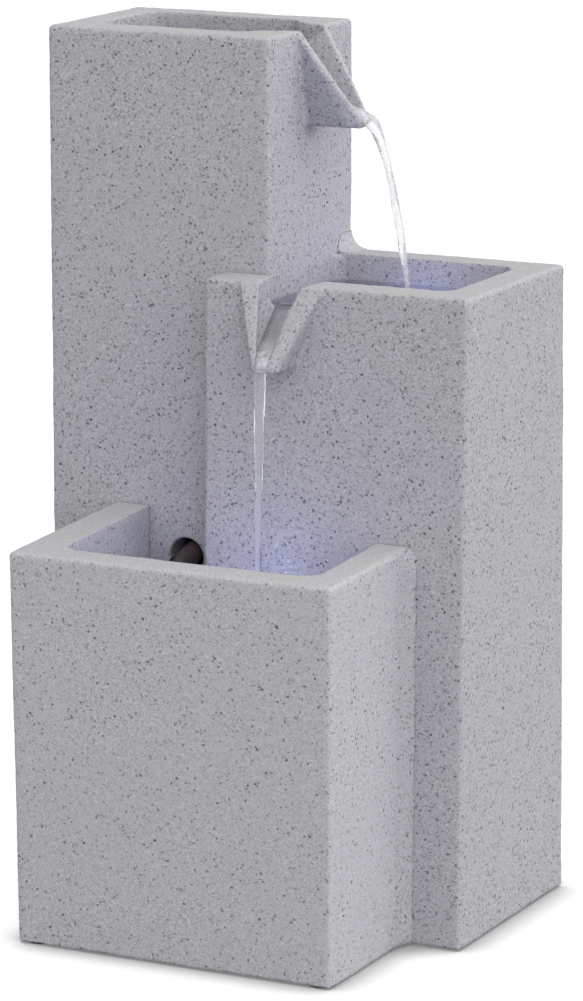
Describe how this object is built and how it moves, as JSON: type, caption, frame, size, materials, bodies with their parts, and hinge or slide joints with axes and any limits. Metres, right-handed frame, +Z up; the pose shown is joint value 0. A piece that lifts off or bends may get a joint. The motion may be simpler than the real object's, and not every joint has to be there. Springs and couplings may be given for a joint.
{
  "type": "indoor fountain",
  "caption": "Table fountain of stepped granite-look columns with beak spouts, a pump in the lower basin and lamps under the water.",
  "frame": {"origin": "middle of the footprint's box, on the surface that the feet rest on", "axes": "+Z up, -Y towards the front, where the lower basin is, +X to the right of someone who faces it"},
  "size_m": [0.22, 0.191, 0.4008],
  "materials": {
    "granite_resin": "matt cast resin with fine dark granite flecks",
    "sealant": "matt flecked jointing compound",
    "black_rubber": "matt rubber",
    "pump_plastic": "moulded black plastic, fine texture",
    "dial_plastic": "moulded blue plastic",
    "impeller_plastic": "moulded white plastic",
    "hose_vinyl": "smooth dark vinyl",
    "cable_jacket": "smooth black jacket",
    "steel": "plain stainless steel",
    "copper_wire": "enamelled winding wire",
    "ferrite": "sintered magnet",
    "white_ceramic": "ground ceramic",
    "lamp_shell": "turned steel cup",
    "lamp_board": "white board with emitter chips",
    "lamp_lens": "clear domed lens"
  },
  "bodies": {
    "fountain": {"tower_casting": "granite_resin", "middle_casting": "granite_resin", "lower_basin_casting": "granite_resin", "joint_beads": "sealant", "rubber_feet": "black_rubber", "suction_cups": "black_rubber", "volute_gasket": "black_rubber", "front_bush": "black_rubber", "rear_bush": "black_rubber", "nipple_washer": "black_rubber", "middle_lamp_gasket": "black_rubber", "lower_lamp_gasket": "black_rubber", "wall_grommet": "black_rubber", "floor_grommet": "black_rubber", "pump_housing": "pump_plastic", "pump_back_cover": "pump_plastic", "pump_cable_gland": "pump_plastic", "volute_cover": "pump_plastic", "hose_nipple": "pump_plastic", "nipple_nut": "pump_plastic", "splice_box": "pump_plastic", "splice_lid": "pump_plastic", "power_socket": "pump_plastic", "riser_hose": "hose_vinyl", "pump_cable": "cable_jacket", "lower_lamp_cable": "cable_jacket", "middle_lamp_cable": "cable_jacket", "socket_lead": "cable_jacket", "volute_screws": "steel", "splice_screw": "steel", "hose_clamps": "steel", "stator_core": "steel", "socket_nut": "steel", "stator_coil": "copper_wire", "rotor_shaft": "white_ceramic", "middle_lamp_body": "lamp_shell", "lower_lamp_body": "lamp_shell", "middle_lamp_board": "lamp_board", "lower_lamp_board": "lamp_board", "middle_lamp_lens": "lamp_lens", "lower_lamp_lens": "lamp_lens"},
    "rotor": {"impeller": "impeller_plastic", "rotor_magnet": "ferrite"},
    "intake": {"intake_grille": "pump_plastic", "dial_cap": "pump_plastic"},
    "dial": {"flow_dial": "dial_plastic"}
  },
  "joints": [
    {"name": "rotor_spin", "type": "hinge", "parent": "fountain", "child": "rotor", "pos_m": [-0.0225, -0.0445, 0.0388], "axis": [1, 0, 0], "continuous": true},
    {"name": "grille_pull", "type": "slide", "parent": "fountain", "child": "intake", "axis": [1, 0, 0], "range_m": [0, 0.012]},
    {"name": "flow_turn", "type": "hinge", "parent": "intake", "child": "dial", "pos_m": [0.002, -0.0445, 0.0388], "axis": [1, 0, 0], "range_deg": [0, 45]}
  ]
}
